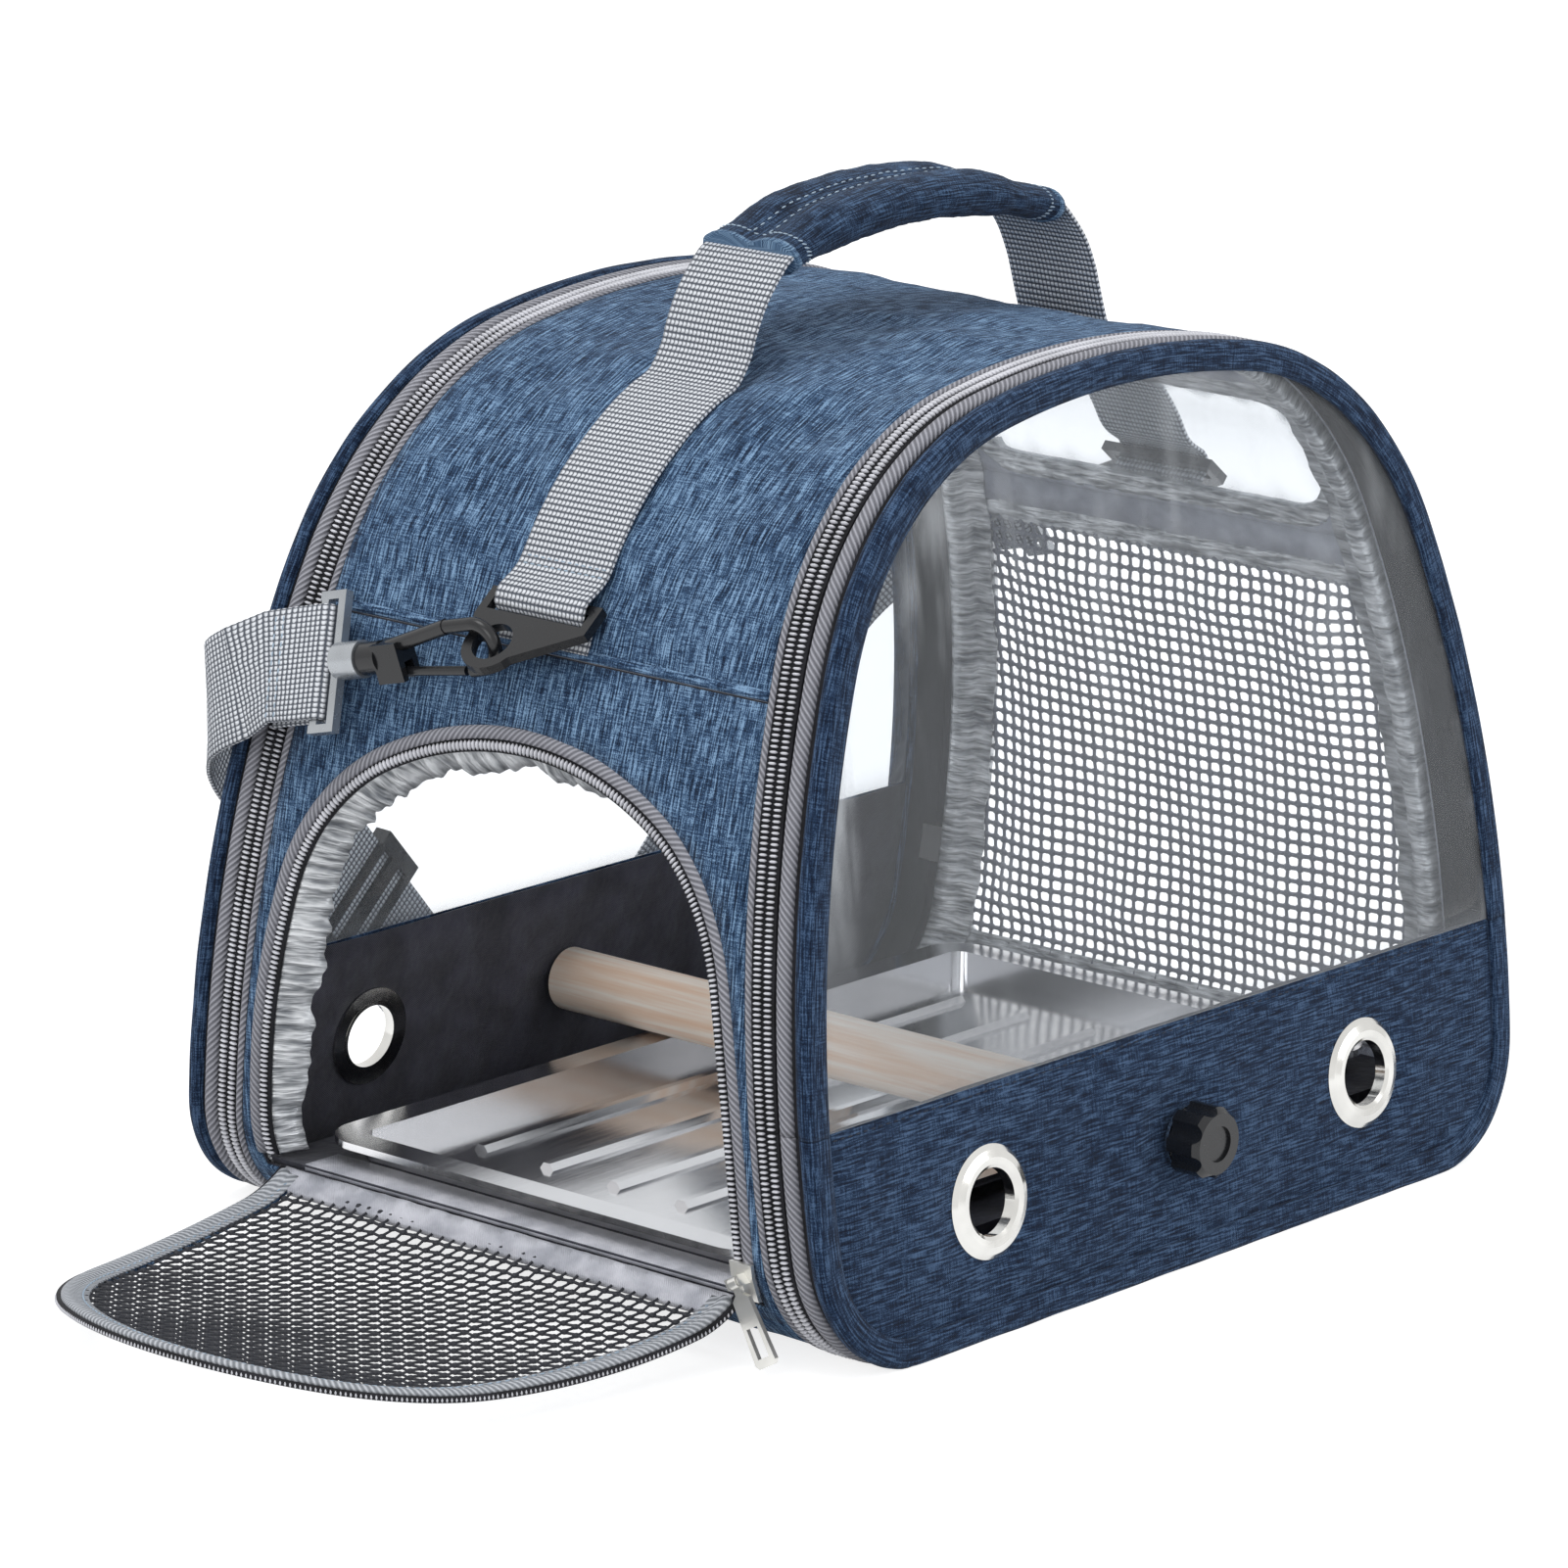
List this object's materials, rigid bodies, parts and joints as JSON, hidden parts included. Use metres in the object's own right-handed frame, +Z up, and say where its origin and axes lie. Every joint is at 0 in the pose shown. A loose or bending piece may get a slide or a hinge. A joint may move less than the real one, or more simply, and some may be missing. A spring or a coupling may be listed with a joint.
{
  "type": "bird travel carrier",
  "caption": "Arched soft bird carrier with clear panels, net door flap, wooden perch, slide-out tray, carry handle and hooked shoulder strap.",
  "frame": {"origin": "on the floor, in the middle of the bag's bottom, the open door and strap left out", "axes": "+X from the door end to the vent end, -Y towards the clear panel that folds down, +Z up"},
  "size_m": [0.5161, 0.3118, 0.344],
  "materials": {
    "fabric_blue": "matt woven",
    "floor_fabric": "matt woven",
    "lining": "matt",
    "binding_light": "crinkled satin",
    "piping_blue": "matt",
    "zip_grey": "ribbed tape",
    "clear_film": "clear",
    "net_black": "mesh",
    "steel": "polished",
    "zip_metal": "bright",
    "perch_wood": "smooth",
    "black_plastic": "satin",
    "board": "matt",
    "webbing_grey": "woven",
    "grip_fabric": "matt woven"
  },
  "bodies": {
    "bag": {"floor_panel": "floor_fabric", "door_end_panel": "fabric_blue", "vent_end_panel": "fabric_blue", "roof_panel": "fabric_blue", "inner_lining": "lining", "base_board": "board", "front_hoop": "steel", "back_hoop": "steel", "front_edge_binding": "binding_light", "back_edge_binding": "binding_light", "front_zip_outer": "zip_grey", "back_zip_outer": "zip_grey", "front_band": "fabric_blue", "back_band": "fabric_blue", "front_band_piping": "piping_blue", "front_band_zip": "zip_grey", "back_piping": "piping_blue", "back_zip_inner": "zip_grey", "back_window": "clear_film", "front_eyelets": "zip_metal", "back_eyelets": "zip_metal", "perch": "perch_wood", "front_perch_screw": "steel", "back_perch_screw": "steel", "perch_washers": "steel", "door_zip_outer": "zip_grey", "door_reveal": "binding_light", "door_slider": "zip_metal", "front_slider": "zip_metal", "back_slider": "zip_metal", "vent_net": "net_black", "vent_binding": "binding_light", "roof_window": "clear_film", "roof_window_binding": "binding_light", "left_webbing": "webbing_grey", "right_webbing": "webbing_grey", "left_swivel": "zip_metal", "right_swivel": "zip_metal", "shoulder_strap": "webbing_grey"},
    "door_flap": {"door_flap_zip": "zip_grey", "door_flap_binding": "binding_light", "door_net": "net_black"},
    "front_flap": {"front_window": "clear_film", "front_window_piping": "piping_blue", "front_window_zip": "zip_grey"},
    "tray_body": {"tray": "steel"},
    "front_knob_body": {"front_knob": "black_plastic"},
    "back_knob_body": {"back_knob": "black_plastic"},
    "handle": {"handle_webbing": "webbing_grey", "handle_grip": "grip_fabric"},
    "left_ring_body": {"left_ring": "black_plastic"},
    "right_ring_body": {"right_ring": "black_plastic"},
    "left_hook_body": {"left_hook": "black_plastic"},
    "right_hook_body": {"right_hook": "black_plastic"},
    "left_gate_body": {"left_gate": "black_plastic"},
    "right_gate_body": {"right_gate": "black_plastic"},
    "door_pull_body": {"door_pull": "zip_metal"},
    "front_pull_body": {"front_pull": "zip_metal"},
    "back_pull_body": {"back_pull": "zip_metal"},
    "strap_slide_body": {"strap_slide": "black_plastic"}
  },
  "joints": [
    {"name": "door_hinge", "type": "hinge", "parent": "bag", "child": "door_flap", "pos_m": [-0.17279, 0, 0.0194], "axis": [0, -1, 0], "range_deg": [-92.7, 2]},
    {"name": "front_window_hinge", "type": "hinge", "parent": "bag", "child": "front_flap", "pos_m": [0, -0.13489, 0.08], "axis": [1, 0, 0], "range_deg": [0, 110]},
    {"name": "tray_slide", "type": "slide", "parent": "bag", "child": "tray_body", "axis": [-1, 0, 0], "range_m": [0, 0.15]},
    {"name": "front_knob_turn", "type": "hinge", "parent": "bag", "child": "front_knob_body", "pos_m": [0, -0.14553, 0.043], "axis": [0, -1, 0], "continuous": true},
    {"name": "back_knob_turn", "type": "hinge", "parent": "bag", "child": "back_knob_body", "pos_m": [0, 0.14553, 0.043], "axis": [0, 1, 0], "continuous": true},
    {"name": "handle_flop", "type": "hinge", "parent": "bag", "child": "handle", "pos_m": [0.008, 0, 0.29018], "axis": [1, 0, 0], "range_deg": [-35, 35]},
    {"name": "left_ring_swing", "type": "hinge", "parent": "bag", "child": "left_ring_body", "pos_m": [-0.15421, 0, 0.22351], "axis": [0, 1, 0], "range_deg": [-4, 2]},
    {"name": "left_hook_turn", "type": "hinge", "parent": "bag", "child": "left_hook_body", "pos_m": [-0.17147, 0.06532, 0.19789], "axis": [0.0437, -0.971, 0.2349], "range_deg": [-8, 10]},
    {"name": "left_gate_press", "type": "hinge", "parent": "left_hook_body", "child": "left_gate_body", "pos_m": [-0.16999, 0.04958, 0.19641], "axis": [0.9864, 0.0792, 0.1439], "range_deg": [-15, 0], "stiffness_Nm_per_rad": 0.06, "springref_deg": 5.73},
    {"name": "right_ring_swing", "type": "hinge", "parent": "bag", "child": "right_ring_body", "pos_m": [0.15421, 0, 0.22351], "axis": [0, -1, 0], "range_deg": [-4, 2]},
    {"name": "right_hook_turn", "type": "hinge", "parent": "bag", "child": "right_hook_body", "pos_m": [0.17147, 0.06532, 0.19789], "axis": [0.0437, 0.971, -0.2349], "range_deg": [-8, 10]},
    {"name": "right_gate_press", "type": "hinge", "parent": "right_hook_body", "child": "right_gate_body", "pos_m": [0.16999, 0.04958, 0.19641], "axis": [0.9864, -0.0792, -0.1439], "range_deg": [-15, 0], "stiffness_Nm_per_rad": 0.06, "springref_deg": 5.73},
    {"name": "door_pull_swing", "type": "hinge", "parent": "bag", "child": "door_pull_body", "pos_m": [-0.18197, -0.106, 0.0296], "axis": [0, 0.866, -0.5], "range_deg": [0, 85]},
    {"name": "front_pull_swing", "type": "hinge", "parent": "bag", "child": "front_pull_body", "pos_m": [0.18494, -0.11866, 0.06], "axis": [0, -1, 0], "range_deg": [0, 85]},
    {"name": "back_pull_swing", "type": "hinge", "parent": "bag", "child": "back_pull_body", "pos_m": [0.18494, 0.11866, 0.06], "axis": [0, -1, 0], "range_deg": [0, 85]},
    {"name": "strap_adjust", "type": "slide", "parent": "bag", "child": "strap_slide_body", "axis": [0.6823, 0.0682, -0.7278], "range_m": [-0.02, 0.02]}
  ]
}
